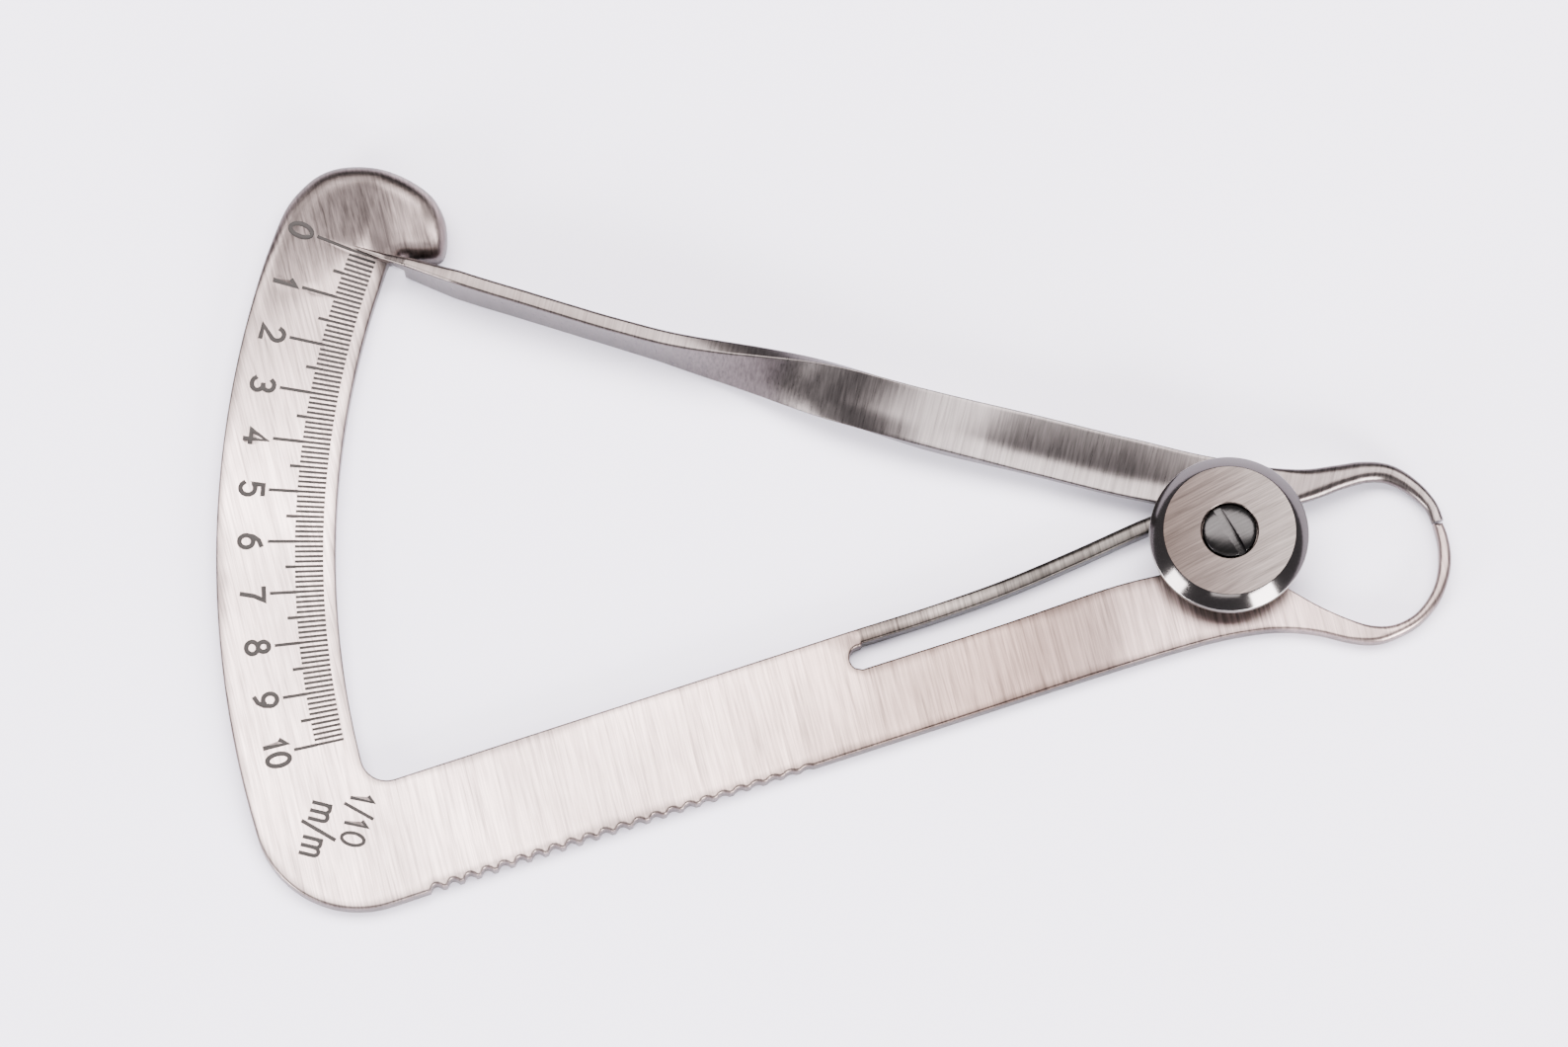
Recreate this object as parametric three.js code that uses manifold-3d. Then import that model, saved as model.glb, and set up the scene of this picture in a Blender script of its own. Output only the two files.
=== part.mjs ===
// Spring-return decimal thickness caliper, modelled in millimetres.
// The origin is on the pivot axis, at the underside of the scale plate. +X points from the
// pivot to the measuring jaws, +Y from the lower arm to the pointer arm, and +Z is up.
import * as THREE from 'three';
import { mergeVertices } from 'three/addons/utils/BufferGeometryUtils.js';
import Module from 'manifold-3d';

const wasm = await Module();
wasm.setup();

// ---- Driving dimensions ----
const SHEET = 1.5;                       // thickness of the plate, the leaf and the arm
const FACETS = 48;                       // facets round a full turn of a turned piece

// Arc scale. Angles are measured at the pivot, up from the -X direction.
const ZERO_MARK = 19.2;                  // angle of the scale's zero
const BEAK_REACH = 79;                   // how far out the pointer's beak sweeps over the scale
const SCALE_OUTER = 86.4;
const SCALE_INNER = 76.2;
const CORNER_RADIUS = 9;                 // outer corner between scale and lower arm
const NOOK_RADIUS = 1.2;                 // inner corner between scale and lower arm

// Lower arm: its two long edges as a point and a slope
const ARM_SLOPE = 18.6;
const LOWER_EDGE = point(-34.5, -19.35);
const UPPER_EDGE = point(-33, -8);
const GRIP_NOTCHES = 23;
const GRIP_PITCH = 1.5;
const GRIP_DEPTH = 0.45;

// Thumb pad: the dome pressed up at the zero end of the scale
const PAD_RISE = 2.5;
const PAD_ROLL = 3.4;                    // width over which the dome falls to its rim
const PAD_WALL = 1.3;                    // wall left between the rim and the hollow underside
const PAD_CREST = ZERO_MARK + 2.6;       // angle at which the dome has its full height
const PAD_SPLICE = 8.6;                  // angle at which the dome's piece meets the flat plate

// Pivot stack
const EYE_RADIUS = 3;                    // plate left round the barrel beside the leaf's pocket
const BOSS_RADIUS = 5.9;
const BARREL_RADIUS = 2.5;
const RUNNING_GAP = 0.05;
const WASHER_THICKNESS = 0.25;
const HUB_RADIUS = 6.1;
const CAP_RADIUS = 6.8;
const CAP_HEIGHT = 1.9;
const CAP_BEVEL = 1;
const SCREW_HEAD_RADIUS = 2.3;
const SCREW_SHANK_RADIUS = 1.2;
const SCREW_SEAT = 0.75;                 // height of the screw's seat above the cap's underside
const SCREW_SLOT_WIDTH = 0.7;
const SCREW_SLOT_ANGLE = -60.5;

const ARM_BASE = SHEET + WASHER_THICKNESS;
const ARM_TOP = ARM_BASE + SHEET;
const CAP_BASE = ARM_TOP + WASHER_THICKNESS;
const CAP_TOP = CAP_BASE + CAP_HEIGHT;

// Leaf spring
const LEAF_HALF = 0.68;                  // half its thickness in the plane of the plate
const LEAF_ROOT = point(-31.45, -8.25);
const LEAF_ROOT_GAP = 0.25;
const STUD_RADIUS = 0.7;
const STUD_CENTRE = point(-4.6, 3.58);
const STUD_END = 0.3;                    // height of the stud's free end

// Pointer arm
const TWIST_END = -51;                   // x at which the blade stands upright
const TWIST_START = -24;                 // x at which the strip is still flat
const BLADE_FLOOR = 0.3;
const BEAK_UNDERSIDE = 2.35;
const ARM_SPAN_STEPS = 3;

// ---- Small geometry helpers ----
function point(x, y) {
  return new THREE.Vector2(x, y);
}

function polar(radius, angle) {
  const turn = THREE.MathUtils.degToRad(180 - angle);
  return point(radius * Math.cos(turn), radius * Math.sin(turn));
}

// Angle of a point, up from the -X direction
function scaleAngle(p) {
  return THREE.MathUtils.radToDeg(Math.atan2(p.y, -p.x));
}

// Points of an arc between two directions, in degrees anticlockwise from +X
function arc(centre, radius, from, to, steps) {
  const points = [];
  for (let i = 0; i <= steps; i += 1) {
    const turn = THREE.MathUtils.degToRad(from + ((to - from) * i) / steps);
    points.push(point(centre.x + radius * Math.cos(turn), centre.y + radius * Math.sin(turn)));
  }
  return points;
}

function smoothCurve(points, steps) {
  return new THREE.SplineCurve(points).getPoints(steps);
}

function directionTo(from, to) {
  return THREE.MathUtils.radToDeg(Math.atan2(to.y - from.y, to.x - from.x));
}

function extruded(outline, bottom, top) {
  const geometry = new THREE.ExtrudeGeometry(new THREE.Shape(outline), {
    depth: top - bottom,
    bevelEnabled: false,
  });
  return solid(geometry.translate(0, 0, bottom));
}

function cylinder(radius, bottom, top, centre = point(0, 0)) {
  const geometry = new THREE.CylinderGeometry(radius, radius, top - bottom, FACETS);
  geometry.rotateX(Math.PI / 2);
  return solid(geometry.translate(centre.x, centre.y, (top + bottom) / 2));
}

// A turned solid from [radius, height] pairs that start and end on the axis
function turned(profile) {
  const geometry = new THREE.LatheGeometry(profile.map(([r, z]) => point(r, z)), FACETS);
  return solid(geometry.rotateX(Math.PI / 2));
}

function solid(geometry) {
  geometry.deleteAttribute('normal');
  geometry.deleteAttribute('uv');
  const merged = mergeVertices(geometry, 1e-5);
  return new wasm.Manifold(new wasm.Mesh({
    numProp: 3,
    vertProperties: new Float32Array(merged.attributes.position.array),
    triVerts: new Uint32Array(merged.index.array),
  }));
}

function named(name, body, colour, roughness) {
  const mesh = body.getMesh();
  const geometry = new THREE.BufferGeometry();
  geometry.setAttribute('position', new THREE.BufferAttribute(mesh.vertProperties, 3));
  geometry.setIndex(new THREE.BufferAttribute(mesh.triVerts, 1));
  geometry.computeVertexNormals();
  const material = new THREE.MeshStandardMaterial({ color: colour, roughness, metalness: 1 });
  const part = new THREE.Mesh(geometry, material);
  part.name = name;
  return part;
}

// ---- Outline of the scale plate ----
// Centre of a fillet that touches a circle round the pivot from inside and a straight edge
// from above.
function filletCentre(circleRadius, edgePoint, radius) {
  const slope = THREE.MathUtils.degToRad(ARM_SLOPE);
  const along = point(-Math.cos(slope), -Math.sin(slope));
  const start = point(edgePoint.x - radius * Math.sin(slope), edgePoint.y + radius * Math.cos(slope));
  const half = start.dot(along);
  const reach = circleRadius - radius;
  const distance = -half + Math.sqrt(half * half - start.lengthSq() + reach * reach);
  return start.addScaledVector(along, distance);
}

// Shallow round notches along the lower edge, from the corner towards the pivot
function gripEdge() {
  const slope = THREE.MathUtils.degToRad(ARM_SLOPE);
  const along = point(Math.cos(slope), Math.sin(slope));
  const inward = point(-Math.sin(slope), Math.cos(slope));
  const points = [];
  for (let i = GRIP_NOTCHES; i > 0; i -= 1) {
    const depth = GRIP_DEPTH * Math.min(1, 0.35 + i / GRIP_NOTCHES);
    for (const [shift, drop] of [[-0.38, 0], [-0.2, 0.75], [0, 1], [0.2, 0.75], [0.38, 0]]) {
      const place = LOWER_EDGE.clone().addScaledVector(along, (shift - i) * GRIP_PITCH);
      points.push(place.addScaledVector(inward, drop * depth));
    }
  }
  return points;
}

function lowerJawOuter() {
  return smoothCurve([
    LOWER_EDGE, point(-22, -15.2), point(-10, -11.2), point(-2.2, -8.8), point(1.9, -7.9),
    point(4.75, -7.65), point(7.6, -7.9), point(10.5, -8.6), point(12.6, -8.75),
    point(14.4, -8.2), point(16.4, -7), point(18.05, -5.05), point(18.9, -2.9),
    point(19.1, -1), point(18.85, 0.7), point(18.45, 1.85),
  ], 44);
}

function lowerJawInner() {
  return smoothCurve([
    point(17.6, 1.75), point(18, -0.17), point(17.95, -2.3), point(17.4, -4.2),
    point(16.2, -5.95), point(14.7, -6.95), point(13.1, -7.3), point(11.1, -7),
    point(8, -5.7), point(4.6, -3.7),
  ], 28);
}

// The pocket that the leaf's free end and the stud move in, and the slot under the leaf
function leafPocket() {
  return [
    ...arc(point(0, 0), EYE_RADIUS, 118, 212, 10),
    point(-5.7, -2.8), point(-10.4, -4.05), point(-19.7, -7.35), point(-31.2, -11.15),
    ...arc(point(-31.3, -10.15), 1.02, 250, 95, 8),
  ];
}

// The short face that the leaf springs from, square to the leaf
function leafSeat(side) {
  const slope = THREE.MathUtils.degToRad(ARM_SLOPE);
  return point(LEAF_ROOT.x - side * Math.sin(slope), LEAF_ROOT.y + side * Math.cos(slope));
}

function plateOutline() {
  const corner = filletCentre(SCALE_OUTER, LOWER_EDGE, CORNER_RADIUS);
  const nook = filletCentre(SCALE_INNER, UPPER_EDGE, NOOK_RADIUS);
  const centre = point(0, 0);
  const cornerEdge = directionTo(centre, corner) + 360;
  const nookEdge = directionTo(centre, nook) + 360;
  return [
    ...arc(centre, SCALE_OUTER, 180 - PAD_SPLICE, cornerEdge, 26),
    ...arc(corner, CORNER_RADIUS, cornerEdge + 6, 270 + ARM_SLOPE, 10),
    ...gripEdge(),
    ...lowerJawOuter(),
    ...lowerJawInner(),
    ...arc(centre, BOSS_RADIUS, -36, 108, 14),
    ...leafPocket(),
    leafSeat(-LEAF_HALF),
    leafSeat(LEAF_HALF),
    ...arc(nook, NOOK_RADIUS, 270 + ARM_SLOPE, nookEdge + 8, 5),
    ...arc(centre, SCALE_INNER, nookEdge, 180 - PAD_SPLICE, 22),
  ];
}

// ---- Thumb pad ----
function padRim() {
  return [
    ...arc(point(0, 0), SCALE_OUTER, 180 - PAD_SPLICE + 1, 163.4, 8),
    ...smoothCurve([
      polar(SCALE_OUTER, 17.2), point(-81, 29.6), point(-79.3, 31.8), point(-77.6, 33),
      point(-75.5, 33.5), point(-72.9, 33.35), point(-70.4, 32.4), point(-68.3, 30.9),
      point(-67.2, 29), point(-66.95, 27.3), point(-67.1, 25.8),
    ], 30),
    point(-67.5, 25.35), point(-68.4, 25.2), point(-70.6, 25.35),
    polar(SCALE_INNER + 0.4, 20),
  ];
}

function distanceToRim(p, rim) {
  const nearest = new THREE.Vector3();
  const place = new THREE.Vector3(p.x, p.y, 0);
  let distance = Infinity;
  for (let i = 1; i < rim.length; i += 1) {
    const from = new THREE.Vector3(rim[i - 1].x, rim[i - 1].y, 0);
    const to = new THREE.Vector3(rim[i].x, rim[i].y, 0);
    new THREE.Line3(from, to).closestPointToPoint(place, true, nearest);
    distance = Math.min(distance, nearest.distanceTo(place));
  }
  return distance;
}

// Height of the dome over the flat plate. It stays low where the pointer's beak passes, and
// falls away gradually along the outer side of the scale.
function padHeight(p, rim, inset) {
  const outward = Math.max(0, p.length() - BEAK_REACH) / (SCALE_OUTER - BEAK_REACH);
  const foot = THREE.MathUtils.lerp(ZERO_MARK - 0.6, PAD_SPLICE + 1, outward);
  const rise = THREE.MathUtils.smoothstep(scaleAngle(p), foot, PAD_CREST);
  const inside = THREE.MathUtils.clamp((distanceToRim(p, rim) - inset) / PAD_ROLL, 0, 1);
  return PAD_RISE * rise * Math.sqrt(1 - (1 - inside) ** 2);
}

function thumbPad() {
  const rim = padRim();
  const reach = { from: 70, to: 88 };
  const sweep = { from: PAD_SPLICE - 1, to: 26.5 };
  const grid = new THREE.BoxGeometry(1, 1, 1, 18, 26, 1);
  const position = grid.attributes.position;
  for (let i = 0; i < position.count; i += 1) {
    const radius = THREE.MathUtils.lerp(reach.from, reach.to, 0.5 - position.getX(i));
    const angle = THREE.MathUtils.lerp(sweep.from, sweep.to, 0.5 + position.getY(i));
    const place = polar(radius, angle);
    const top = SHEET + padHeight(place, rim, 0);
    const bottom = padHeight(place, rim, PAD_WALL);
    position.setXYZ(i, place.x, place.y, position.getZ(i) > 0 ? top : bottom);
  }
  const outline = [...rim, ...arc(point(0, 0), SCALE_INNER, 160, 180 - PAD_SPLICE + 1, 10)];
  return solid(grid).intersect(extruded(outline, -1, SHEET + 2 * PAD_RISE));
}

function scalePlate() {
  const plate = extruded(plateOutline(), 0, SHEET).add(thumbPad());
  const bore = cylinder(BARREL_RADIUS + 0.02, -1, SHEET + 1);
  return plate.subtract(bore);
}

// ---- Leaf spring ----
function leafSpring() {
  const slope = THREE.MathUtils.degToRad(ARM_SLOPE);
  const root = point(
    LEAF_ROOT.x + LEAF_ROOT_GAP * Math.cos(slope),
    LEAF_ROOT.y + LEAF_ROOT_GAP * Math.sin(slope),
  );
  const line = new THREE.SplineCurve([
    root, point(-25.5, -6.32), point(-19.3, -4.05), point(-13.2, -1.38),
    point(-7.6, 1.22), point(-5.5, 2.02), point(-4.35, 2.18),
  ]);
  const steps = 24;
  const upper = [];
  const lower = [];
  for (let i = 0; i <= steps; i += 1) {
    const place = line.getPoint(i / steps);
    const heading = line.getTangent(i / steps);
    const side = point(-heading.y, heading.x).multiplyScalar(LEAF_HALF);
    upper.push(place.clone().add(side));
    lower.push(place.clone().sub(side));
  }
  return extruded([...lower, ...upper.reverse()], 0, SHEET);
}

// ---- Pointer arm ----
// Stations along the arm: centre x, y, z, then the strip's width and thickness there
const ARM_STATIONS = [
  upright(-74.9, 26.05, BEAK_UNDERSIDE, 2.75, 0.2),
  upright(-72.4, 25.12, BEAK_UNDERSIDE, 3.15, 0.58),
  upright(-70.45, 24.38, BEAK_UNDERSIDE, 4, 0.85),
  upright(-70.35, 24.35, BLADE_FLOOR, 4.05, 0.87),
  upright(-66.1, 22.72, BLADE_FLOOR, 5.1, 1.3),
  upright(-60, 20.76, BLADE_FLOOR, 5.1, 1.32),
  upright(-53.4, 18.67, BLADE_FLOOR, 5.1, 1.35),
  { x: -47, y: 16.78, z: 2.85, width: 4.7, thickness: 1.4 },
  { x: -40, y: 14.92, z: 2.9, width: 4.65, thickness: 1.4 },
  { x: -33, y: 12.96, z: 2.86, width: 4.65, thickness: 1.4 },
  { x: -26, y: 10.8, z: 2.5, width: 4.9, thickness: SHEET },
  { x: -17, y: 8.45, z: 2.5, width: 5, thickness: SHEET },
  { x: -8, y: 6.18, z: 2.5, width: 5, thickness: SHEET },
  { x: -1, y: 4.75, z: 2.5, width: 4.6, thickness: SHEET },
  { x: 4.5, y: 4.5, z: 2.48, width: 3.4, thickness: 1.46 },
  { x: 7, y: 4.85, z: 2.4, width: 2.75, thickness: 1.45 },
  { x: 9.6, y: 5.62, z: 2.05, width: 2.15, thickness: 1.5 },
  { x: 12, y: 6.24, z: 1.4, width: 1.85, thickness: 1.5 },
  { x: 14, y: 6.12, z: 0.98, width: 1.7, thickness: 1.35 },
  { x: 15.9, y: 5.05, z: 0.84, width: 1.45, thickness: 1.2 },
  { x: 17.4, y: 3.5, z: 0.78, width: 1.2, thickness: 1.1 },
  { x: 18.02, y: 2, z: 0.75, width: 1.0, thickness: 1 },
];

function upright(x, y, bottom, top, thickness) {
  return { x, y, z: (bottom + top) / 2, width: top - bottom, thickness };
}

// A flat octagon one unit each way, the cross-section of the strip
function stripSection() {
  const outline = new THREE.Shape();
  outline.moveTo(0.5, 0.3);
  outline.lineTo(0.44, 0.5);
  outline.lineTo(-0.44, 0.5);
  outline.lineTo(-0.5, 0.3);
  outline.lineTo(-0.5, -0.3);
  outline.lineTo(-0.44, -0.5);
  outline.lineTo(0.44, -0.5);
  outline.lineTo(0.5, -0.3);
  return outline;
}

// The strip is drawn straight along Z, then each of its points is carried to the arm's line:
// across the strip, through its thickness, and turned upright along the twist.
function armStrip() {
  const spans = ARM_STATIONS.length - 1;
  const line = new THREE.CatmullRomCurve3(ARM_STATIONS.map((s) => new THREE.Vector3(s.x, s.y, s.z)));
  const strip = new THREE.ExtrudeGeometry(stripSection(), {
    depth: 1, steps: spans * ARM_SPAN_STEPS, bevelEnabled: false,
  });
  const position = strip.attributes.position;
  for (let i = 0; i < position.count; i += 1) {
    const along = THREE.MathUtils.clamp(position.getZ(i), 0, 1);
    const centre = line.getPoint(along);
    const heading = line.getTangent(along);
    const side = new THREE.Vector3(-heading.y, heading.x, 0).normalize();
    const up = new THREE.Vector3(0, 0, 1);
    const index = Math.min(spans - 1, Math.floor(along * spans));
    const share = along * spans - index;
    const from = ARM_STATIONS[index];
    const to = ARM_STATIONS[index + 1];
    centre.z = THREE.MathUtils.lerp(from.z, to.z, share);
    const across = position.getX(i) * THREE.MathUtils.lerp(from.width, to.width, share);
    const through = position.getY(i) * THREE.MathUtils.lerp(from.thickness, to.thickness, share);
    const roll = (Math.PI / 2) * (1 - THREE.MathUtils.smoothstep(centre.x, TWIST_END, TWIST_START));
    centre.addScaledVector(side, across * Math.cos(roll) - through * Math.sin(roll));
    centre.addScaledVector(up, across * Math.sin(roll) + through * Math.cos(roll));
    position.setXYZ(i, centre.x, centre.y, centre.z);
  }
  return solid(strip);
}

function pointerArm() {
  const hub = cylinder(HUB_RADIUS, ARM_BASE, ARM_TOP);
  const bore = cylinder(BARREL_RADIUS + RUNNING_GAP, 0, CAP_TOP);
  const studHole = cylinder(STUD_RADIUS + 0.03, 0, CAP_TOP, STUD_CENTRE);
  return armStrip().add(hub).subtract(bore).subtract(studHole);
}

// ---- Pivot stack ----
function washer(inner, outer, bottom) {
  const ring = cylinder(outer, bottom, bottom + WASHER_THICKNESS);
  return ring.subtract(cylinder(inner, bottom - 1, bottom + 1));
}

// A shouldered sleeve with a blind threaded hole, its closed end flush with the plate
function pivotBarrel() {
  return turned([
    [0, 0], [BARREL_RADIUS, 0], [BARREL_RADIUS, CAP_BASE], [SCREW_SHANK_RADIUS + 0.06, CAP_BASE],
    [SCREW_SHANK_RADIUS + 0.06, 0.6], [0, 0.6],
  ]);
}

function pivotCap() {
  const seat = CAP_BASE + SCREW_SEAT;
  const disc = turned([
    [0, CAP_BASE], [CAP_RADIUS, CAP_BASE], [CAP_RADIUS, CAP_TOP - CAP_BEVEL],
    [CAP_RADIUS - CAP_BEVEL, CAP_TOP], [0, CAP_TOP],
  ]);
  const counterbore = cylinder(SCREW_HEAD_RADIUS + 0.12, seat, CAP_TOP + 1);
  return disc.subtract(counterbore).subtract(cylinder(SCREW_SHANK_RADIUS + 0.1, 0, CAP_TOP));
}

function pivotScrew() {
  const seat = CAP_BASE + SCREW_SEAT;
  const shoulder = CAP_TOP - 0.2;
  const crown = CAP_TOP + 0.25;
  const screw = turned([
    [0, 0.8], [SCREW_SHANK_RADIUS, 0.8], [SCREW_SHANK_RADIUS, seat], [SCREW_HEAD_RADIUS, seat],
    [SCREW_HEAD_RADIUS, shoulder], [SCREW_HEAD_RADIUS * 0.8, shoulder + 0.22],
    [SCREW_HEAD_RADIUS * 0.45, crown - 0.07], [0, crown],
  ]);
  const slot = new THREE.BoxGeometry(2 * CAP_RADIUS, SCREW_SLOT_WIDTH, 1);
  slot.rotateZ(THREE.MathUtils.degToRad(SCREW_SLOT_ANGLE));
  return screw.subtract(solid(slot.translate(0, 0, CAP_TOP + 0.1)));
}

// ---- Assembly ----
const caliper = new THREE.Group();
caliper.add(
  named('scale_plate', scalePlate(), 0xd9d3cf, 0.34),
  named('leaf_spring', leafSpring(), 0xd4cdc8, 0.34),
  named('pivot_barrel', pivotBarrel(), 0xb9b2ac, 0.4),
  named('thrust_washer', washer(BARREL_RADIUS + RUNNING_GAP, 4.5, SHEET), 0xb0aaa5, 0.45),
  named('pointer_arm', pointerArm(), 0xb5aea8, 0.3),
  named('spring_stud', cylinder(STUD_RADIUS, STUD_END, ARM_TOP, STUD_CENTRE), 0xa8a29d, 0.4),
  named('spring_washer', washer(BARREL_RADIUS + RUNNING_GAP, 4.8, ARM_TOP), 0xa39d98, 0.45),
  named('pivot_cap', pivotCap(), 0xc4bcb5, 0.36),
  named('pivot_screw', pivotScrew(), 0xaaa39d, 0.3),
);

export default caliper;
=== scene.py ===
"""Looks of a spring-return decimal thickness caliper lying on a pale table.

Lengths are in millimetres until a mesh is made; the table, the lights and the camera are in
metres. The origin is on the pivot axis at the underside of the scale plate, +X points to the
measuring jaws and +Y to the pointer arm.
"""

import math

import bmesh
import bpy
import numpy as np
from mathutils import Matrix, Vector
from mathutils.geometry import delaunay_2d_cdt


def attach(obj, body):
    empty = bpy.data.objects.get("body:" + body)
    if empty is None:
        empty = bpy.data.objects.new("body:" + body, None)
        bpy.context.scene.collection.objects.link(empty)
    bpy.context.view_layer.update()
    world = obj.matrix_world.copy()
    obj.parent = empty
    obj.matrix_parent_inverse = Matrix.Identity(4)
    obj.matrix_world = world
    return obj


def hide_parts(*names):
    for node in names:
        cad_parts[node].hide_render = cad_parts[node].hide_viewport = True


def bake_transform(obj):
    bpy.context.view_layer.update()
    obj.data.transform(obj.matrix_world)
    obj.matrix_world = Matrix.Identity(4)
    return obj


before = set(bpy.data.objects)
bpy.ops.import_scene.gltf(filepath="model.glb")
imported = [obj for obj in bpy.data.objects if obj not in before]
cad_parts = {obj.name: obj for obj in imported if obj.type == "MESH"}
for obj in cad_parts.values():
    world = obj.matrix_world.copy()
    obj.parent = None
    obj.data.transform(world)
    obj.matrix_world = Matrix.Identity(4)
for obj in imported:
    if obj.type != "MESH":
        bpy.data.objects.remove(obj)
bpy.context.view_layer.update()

MM = 0.001
SHARP_ANGLE = 32                   # edges sharper than this aren't smoothed, in degrees


# ---- Driving dimensions ----
SHEET = 1.5
EDGE_TOP = 0.2                     # rounding of the plate's upper edges
EDGE_UNDER = 0.12
JAW_ROUND = 0.46                   # rounding where the lower jaw has become a rod

ZERO_MARK = 19.15                  # angle of the scale's zero, up from the -X direction
LEVER = 36.18                      # twice the distance from the pivot to the jaws' contact
SCALE_OUTER = 86.4
SCALE_INNER = 76.2
CORNER_RADIUS = 9
NOOK_RADIUS = 2.2                  # where the scale meets the lower arm
TICK_ROOT = 77.3
TICK_END = 79.6
HALF_TICK_END = 80.4
LONG_TICK_END = 82.6               # at the zero; the long lines shorten by DRIFT per unit
NUMERAL_RADIUS = 84.15             # at the zero; the numerals move inwards by DRIFT per unit
DRIFT = 0.115
NUMERAL_HEIGHT = 1.95
TICK_WIDTH = 0.24
LONG_TICK_WIDTH = 0.29
NUMERAL_WIDTH = 0.41
ENGRAVING_DEPTH = 0.1
GROOVE_WALL = 0.4                  # share of a stroke's half width that its slope takes

ARM_SLOPE = 18.6                   # of the lower arm's straight part, in degrees
LOWER_EDGE = (-34.5, -19.35)       # where the grip notches end
UPPER_EDGE = (-33.0, -8.0)         # a point on the lower arm's other edge
GRIP_NOTCHES = 23
GRIP_PITCH = 1.5
GRIP_DEPTH = 0.45

BEAK_REACH = 79
BEAK_FOOT = ZERO_MARK - 0.4        # angle at which the dome starts in the beak's path
PAD_FOOT = 8.5                     # the same on the outer side
TAB_FOOT = 13.0                    # and in the tab beside the beak
PAD_CREST = 25.5                   # angle at which the dome would reach its full height
PAD_RISE = 2.9
PAD_EASE = 0.6                     # share of the climb over which it gets steeper
PAD_ROLL = 2.3                     # width over which the dome falls to its rim
LIP_ROLL = 1.1                     # the same along the lower lip
PAD_WALL = 1.3
PAD_END = -60                      # the pad lies beyond this x
TAB_FROM = -74.2                   # x at which the pad starts to turn into the tab
TAB_WHOLE = -71.0                  # x from which it is all tab

EYE_RADIUS = 3.0
BOSS_RADIUS = 5.9
BORE_RADIUS = 2.52
BARREL_RADIUS = 2.5
THREAD_RADIUS = 1.26               # of the screw's blind hole in the barrel
WASHER = 0.25
WASHER_BORE = 2.56
THRUST_RADIUS = 4.5
SPRING_RADIUS = 4.8
HUB_RADIUS = 6.1
CAP_RADIUS = 6.8
CAP_HEIGHT = 1.9
CAP_BEVEL = 1.15
CAP_BORE = 1.27
SEAT_RADIUS = 2.42
SCREW_RADIUS = 2.3
SCREW_EDGE = 5.2                   # height at which the head's dome starts
SCREW_CROWN = 5.66
SHANK_RADIUS = 1.2
SLOT_WIDTH = 0.72
SLOT_ANGLE = -60.5
STUD_RADIUS = 0.7

ARM_BASE = SHEET + WASHER
ARM_TOP = ARM_BASE + SHEET
CAP_BASE = ARM_TOP + WASHER
CAP_TOP = CAP_BASE + CAP_HEIGHT

LEAF_HALF = 0.68                   # half the leaf's width
LEAF_ROOT = (-31.45, -8.25)
STUD_CENTRE = (-4.6, 3.58)


# ---- Spacing of the plate's mesh points ----
OUTLINE_STEP = 0.45
FLAT_GRID = 2.0
FLAT_BOX = ((-87, -32), (19, 11))
DOME_GRID = 0.36
HOLLOW_GRID = 0.6
PAD_BOX = ((-86.4, 11.0), (-66.5, 33.6))
GRID_MARGIN = 0.5                  # between a grid and the edges
HOLLOW_MARGIN = 0.3
STROKE_MARGIN = 0.12               # between a grid and the engraved strokes
RING_REACH = 0.42                  # how far in the rings along the edges may go
LEAST_GAP = 0.012                  # between a ring and the edges


# ---- Shape of the pointer arm ----
# Centre line, from the beak's tip to the jaw's tip
ARM_LINE = [
    (-74.9, 26.05), (-72.4, 25.12), (-70.4, 24.36), (-66.1, 22.72), (-60, 20.76),
    (-53.4, 18.67), (-47, 16.72), (-40, 14.8), (-33, 12.7), (-26, 10.68), (-17, 8.45),
    (-8, 6.18), (-1, 4.75), (4.5, 4.5), (7, 4.85), (9.6, 5.62), (12, 6.24), (14, 6.12),
    (15.9, 5.05), (17.4, 3.5), (18.02, 2.0),
]
# Its section along x: height of its middle, width, thickness, roll in degrees, rounding
# of its edges and how deep the trough in its upper face is
ARM_SECTIONS = [
    (-74.9, 2.56, 0.42, 0.22, 90, 0.09, 0),
    (-72.4, 2.76, 0.82, 0.58, 90, 0.16, 0),
    (-70.43, 3.2, 1.68, 0.84, 90, 0.2, 0),
    (-70.37, 2.17, 3.76, 0.86, 90, 0.2, 0),
    (-66.1, 2.7, 4.8, 1.3, 90, 0.2, 0),
    (-53.4, 2.7, 4.8, 1.34, 90, 0.2, 0),
    (-48.4, 2.82, 4.7, 1.38, 87, 0.2, 0),
    (-45.8, 2.86, 4.7, 1.4, 81, 0.2, 0),
    (-42.4, 3.0, 4.7, 1.4, 71, 0.18, 0),
    (-39, 3.16, 4.7, 1.4, 58, 0.16, -0.2),
    (-35.7, 3.26, 4.7, 1.4, 41, 0.14, -0.5),
    (-32.3, 3.2, 4.75, 1.42, 22, 0.14, -0.6),
    (-28.5, 2.9, 4.85, 1.46, 10, 0.14, -0.4),
    (-25.5, 2.58, 4.95, 1.5, 2, 0.14, 0),
    (-22.5, 2.5, 5, 1.5, 0, 0.14, 0.2),
    (-17.5, 2.5, 5, 1.5, 0, 0.14, 0.9),
    (-8, 2.5, 5, 1.5, 0, 0.14, 1),
    (-1, 2.5, 4.6, 1.5, 0, 0.14, 0.5),
    (4.5, 2.48, 3.4, 1.46, 0, 0.4, 0),
    (7, 2.4, 2.75, 1.45, 0, 0.6, 0),
    (9.6, 2.05, 2.15, 1.5, 0, 0.7, 0),
    (12, 1.4, 1.85, 1.5, 0, 0.72, 0),
    (14, 0.98, 1.7, 1.35, 0, 0.66, 0),
    (15.9, 0.84, 1.45, 1.2, 0, 0.58, 0),
    (17.4, 0.78, 1.2, 1.1, 0, 0.5, 0),
    (18.02, 0.75, 1.0, 1.0, 0, 0.42, 0),
]


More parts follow.
